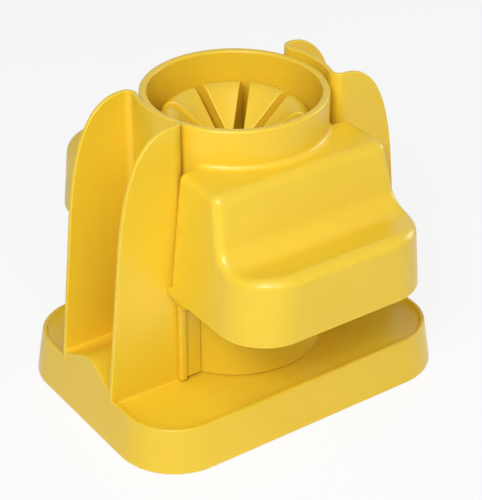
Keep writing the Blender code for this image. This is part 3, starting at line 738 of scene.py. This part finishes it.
def finger_seat():
    """Round block with eight fingers; one finger is modelled and copied round."""
    block = turned("finger_seat", [(FINGER_RADIUS, REST), (FINGER_RADIUS, SLOT_FLOOR)])
    pattern = finger()
    copies = []
    for i in range(FINGER_COUNT):
        only(pattern)
        bpy.ops.object.duplicate()
        bpy.context.object.rotation_euler.z = STEP / 2 + STEP * i
        copies.append(settle(f"finger_{i + 1}"))
    bpy.data.objects.remove(pattern, do_unlink=True)
    combine(block, "UNION", copies)
    return finish_moulding(block)


# Materials


class Shader:
    """Node tree of one finish, with short calls to add and join its nodes."""

    def __init__(self, name):
        self.material = bpy.data.materials.new(name)
        self.material.use_nodes = True
        self.tree = self.material.node_tree
        self.surface = self.tree.nodes["Principled BSDF"]
        self.place = self.tree.nodes.new("ShaderNodeTexCoord").outputs["Object"]

    def join(self, source, target):
        """Link one socket to another."""
        self.tree.links.new(source, target)

    def stretched(self, scale):
        """Object coordinates with their own scale along each axis."""
        mapping = self.tree.nodes.new("ShaderNodeMapping")
        mapping.inputs["Scale"].default_value = scale
        self.join(self.place, mapping.inputs["Vector"])
        return mapping.outputs["Vector"]

    def noise(self, scale, detail=2.0, roughness=0.5, place=None):
        """Noise of a size over the piece."""
        node = self.tree.nodes.new("ShaderNodeTexNoise")
        node.inputs["Scale"].default_value = scale
        node.inputs["Detail"].default_value = detail
        node.inputs["Roughness"].default_value = roughness
        self.join(place or self.place, node.inputs["Vector"])
        return node.outputs["Fac"]

    def spread(self, source, low, high, start=0.3, end=0.7):
        """Value spread evenly between two limits."""
        node = self.tree.nodes.new("ShaderNodeMapRange")
        node.inputs["From Min"].default_value = start
        node.inputs["From Max"].default_value = end
        node.inputs["To Min"].default_value = low
        node.inputs["To Max"].default_value = high
        self.join(source, node.inputs["Value"])
        return node.outputs["Result"]

    def shades(self, source, *stops):
        """Colours along a value."""
        node = self.tree.nodes.new("ShaderNodeValToRGB")
        ramp = node.color_ramp
        while len(ramp.elements) < len(stops):
            ramp.elements.new(0.5)
        for element, (position, colour) in zip(ramp.elements, stops):
            element.position = position
            element.color = (*colour, 1.0)
        self.join(source, node.inputs["Fac"])
        return node.outputs["Color"]

    def bump(self, source, strength, distance, below=None):
        """Relief from a value, on top of an earlier one."""
        node = self.tree.nodes.new("ShaderNodeBump")
        node.inputs["Strength"].default_value = strength
        node.inputs["Distance"].default_value = distance
        self.join(source, node.inputs["Height"])
        if below:
            self.join(below, node.inputs["Normal"])
        return node.outputs["Normal"]

    def set(self, **values):
        """Even values of the surface."""
        for name, value in values.items():
            self.surface.inputs[name.replace("_", " ")].default_value = value


def lemon_plastic():
    """Injection moulded lemon yellow plastic: satin gloss, faint grain, flow clouds and rubbed patches."""
    s = Shader("lemon_yellow_plastic")
    clouds = s.noise(14.0, 3.0, 0.55)
    colour = s.shades(clouds, (0.30, (0.862, 0.585, 0.028)), (0.55, (0.875, 0.604, 0.034)),
                      (0.75, (0.888, 0.622, 0.040)))
    s.join(colour, s.surface.inputs["Base Color"])
    rubbed = s.noise(38.0, 4.0, 0.6)
    s.join(s.spread(rubbed, 0.27, 0.37), s.surface.inputs["Roughness"])
    sinks = s.bump(s.noise(30.0, 1.0), 0.10, 0.0004)
    grain = s.bump(s.noise(2200.0, 2.0), 0.05, 0.00008, sinks)
    s.join(grain, s.surface.inputs["Normal"])
    s.set(Subsurface_Weight=0.12, Subsurface_Radius=(0.0040, 0.0020, 0.0004), Subsurface_Scale=1.0)
    s.set(IOR=1.49)
    return s.material


def blade_steel():
    """Ground stainless steel: fine lines, a little cloud in its gloss."""
    s = Shader("ground_stainless")
    lines = s.noise(900.0, 3.0, 0.6, s.stretched((0.04, 0.04, 1.0)))
    colour = s.shades(lines, (0.3, (0.56, 0.56, 0.55)), (0.7, (0.68, 0.68, 0.67)))
    s.join(colour, s.surface.inputs["Base Color"])
    s.join(s.spread(lines, 0.22, 0.36), s.surface.inputs["Roughness"])
    s.join(s.bump(lines, 0.08, 0.00005), s.surface.inputs["Normal"])
    s.set(Metallic=1.0)
    return s.material


def screw_steel():
    """Plain stainless of the screws, a little duller."""
    s = Shader("screw_stainless")
    specks = s.noise(1500.0, 3.0, 0.6)
    colour = s.shades(specks, (0.3, (0.50, 0.50, 0.49)), (0.7, (0.62, 0.62, 0.61)))
    s.join(colour, s.surface.inputs["Base Color"])
    s.join(s.spread(specks, 0.30, 0.42), s.surface.inputs["Roughness"])
    s.set(Metallic=1.0)
    return s.material


def foot_rubber():
    """Dark grey rubber with a fine matte skin and pale dust."""
    s = Shader("grey_rubber")
    dust = s.noise(260.0, 4.0, 0.65)
    colour = s.shades(dust, (0.35, (0.030, 0.030, 0.031)), (0.75, (0.062, 0.060, 0.057)))
    s.join(colour, s.surface.inputs["Base Color"])
    s.join(s.spread(dust, 0.70, 0.88), s.surface.inputs["Roughness"])
    s.join(s.bump(s.noise(3000.0, 2.0), 0.2, 0.0001), s.surface.inputs["Normal"])
    return s.material


def coat(piece, finish):
    """One finish over the whole piece."""
    piece.data.materials.clear()
    piece.data.materials.append(finish)


# Studio

CAMERA_PLACE = Vector((-0.4485, -0.6442, 0.5529))
CAMERA_AZIMUTH = math.radians(-35.11)
CAMERA_ELEVATION = math.radians(31.41)
CAMERA_ROLL = math.radians(0.14)
SENSOR = 36.0
LENS = 124.73
CLIP_START = 0.05
LAMP_AIM = Vector((0.0, 0.0, 0.09))
ROOM_FILL = 0.14
FLOOR_SIZE = 8.0
FLOOR_GLOW = 0.85


def towards(azimuth, elevation):
    """Direction at an azimuth from the front and an elevation."""
    level = math.cos(elevation)
    return Vector((math.sin(azimuth) * level, -math.cos(azimuth) * level, math.sin(elevation)))


def camera():
    """Camera at the photograph's place."""
    made = bpy.data.objects.new("camera", bpy.data.cameras.new("camera"))
    made.data.lens = LENS
    made.data.sensor_width = SENSOR
    made.data.sensor_fit = "HORIZONTAL"
    made.data.clip_start = CLIP_START
    made.location = CAMERA_PLACE
    aim = towards(CAMERA_AZIMUTH, CAMERA_ELEVATION).to_track_quat("Z", "Y")
    made.rotation_euler = (aim @ Quaternion((0.0, 0.0, 1.0), CAMERA_ROLL)).to_euler()
    bpy.context.scene.collection.objects.link(made)
    bpy.context.scene.camera = made


def lamp(name, azimuth, elevation, distance, size, watts):
    """Square soft lamp that faces the middle of the object."""
    made = bpy.data.objects.new(name, bpy.data.lights.new(name, "AREA"))
    made.data.size = size
    made.data.energy = watts
    way = towards(math.radians(azimuth), math.radians(elevation))
    made.location = LAMP_AIM + way * distance
    made.rotation_euler = way.to_track_quat("Z", "Y").to_euler()
    bpy.context.scene.collection.objects.link(made)


def seen(tree):
    """One for the rays of the camera, of gloss and of glass, none for those that light the object."""
    rays = tree.nodes.new("ShaderNodeLightPath")
    answer = rays.outputs["Is Camera Ray"]
    for kind in ("Is Glossy Ray", "Is Transmission Ray"):
        either = tree.nodes.new("ShaderNodeMath")
        either.operation = "MAXIMUM"
        tree.links.new(answer, either.inputs[0])
        tree.links.new(rays.outputs[kind], either.inputs[1])
        answer = either.outputs["Value"]
    return answer


def surroundings(fill):
    """White room: an even fill on the object, pure white to the eye and in reflections."""
    world = bpy.context.scene.world or bpy.data.worlds.new("room")
    bpy.context.scene.world = world
    world.use_nodes = True
    tree = world.node_tree
    tree.nodes.clear()
    mix = tree.nodes.new("ShaderNodeMixShader")
    tree.links.new(seen(tree), mix.inputs["Fac"])
    for socket, strength in ((mix.inputs[1], fill), (mix.inputs[2], 1.0)):
        background = tree.nodes.new("ShaderNodeBackground")
        background.inputs["Color"].default_value = (1.0, 1.0, 1.0, 1.0)
        background.inputs["Strength"].default_value = strength
        tree.links.new(background.outputs["Background"], socket)
    output = tree.nodes.new("ShaderNodeOutputWorld")
    tree.links.new(mix.outputs["Shader"], output.inputs["Surface"])


def studio_floor():
    """Pale matte floor under the feet, which looks white but keeps the object's shadow."""
    deselect()
    bpy.ops.mesh.primitive_plane_add(size=FLOOR_SIZE, location=(0.0, 0.0, 0.0))
    piece = settle("studio_floor")
    s = Shader("white_floor")
    s.set(Base_Color=(1.0, 1.0, 1.0, 1.0), Roughness=1.0, Specular_IOR_Level=0.0)
    nodes = s.tree.nodes
    share = nodes.new("ShaderNodeMath")
    share.operation = "MULTIPLY"
    share.inputs[1].default_value = FLOOR_GLOW
    s.join(seen(s.tree), share.inputs[0])
    mix = nodes.new("ShaderNodeMixShader")
    s.join(share.outputs["Value"], mix.inputs["Fac"])
    s.join(s.surface.outputs["BSDF"], mix.inputs[1])
    s.join(nodes.new("ShaderNodeEmission").outputs["Emission"], mix.inputs[2])
    s.join(mix.outputs["Shader"], nodes["Material Output"].inputs["Surface"])
    coat(piece, s.material)


plastic = lemon_plastic()
mouldings = ((base_moulding, "base_and_seat", "base"),
             (housing_moulding, "cup_and_blades", "housing"),
             (finger_seat, "base_and_seat", "finger_block"))
for maker, body_name, node in mouldings:
    moulding = maker()
    coat(moulding, plastic)
    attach(moulding, body_name)
    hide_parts(node)

steel, screws, rubber = blade_steel(), screw_steel(), foot_rubber()
for name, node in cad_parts.items():
    if name.startswith("blade"):
        coat(node, steel)
    elif "screw" in name:
        coat(node, screws)
    elif name.startswith("foot"):
        coat(node, rubber)

camera()
studio_floor()
surroundings(ROOM_FILL)
lamp("key", -50.0, 39.0, 1.3, 0.32, 8.2)
lamp("second", -20.0, 38.0, 1.5, 0.60, 4.9)
lamp("top", -45.0, 64.0, 0.7, 0.25, 0.6)
lamp("low_right", 80.0, 12.0, 1.5, 0.60, 5.6)
bpy.context.scene.view_settings.view_transform = "Standard"
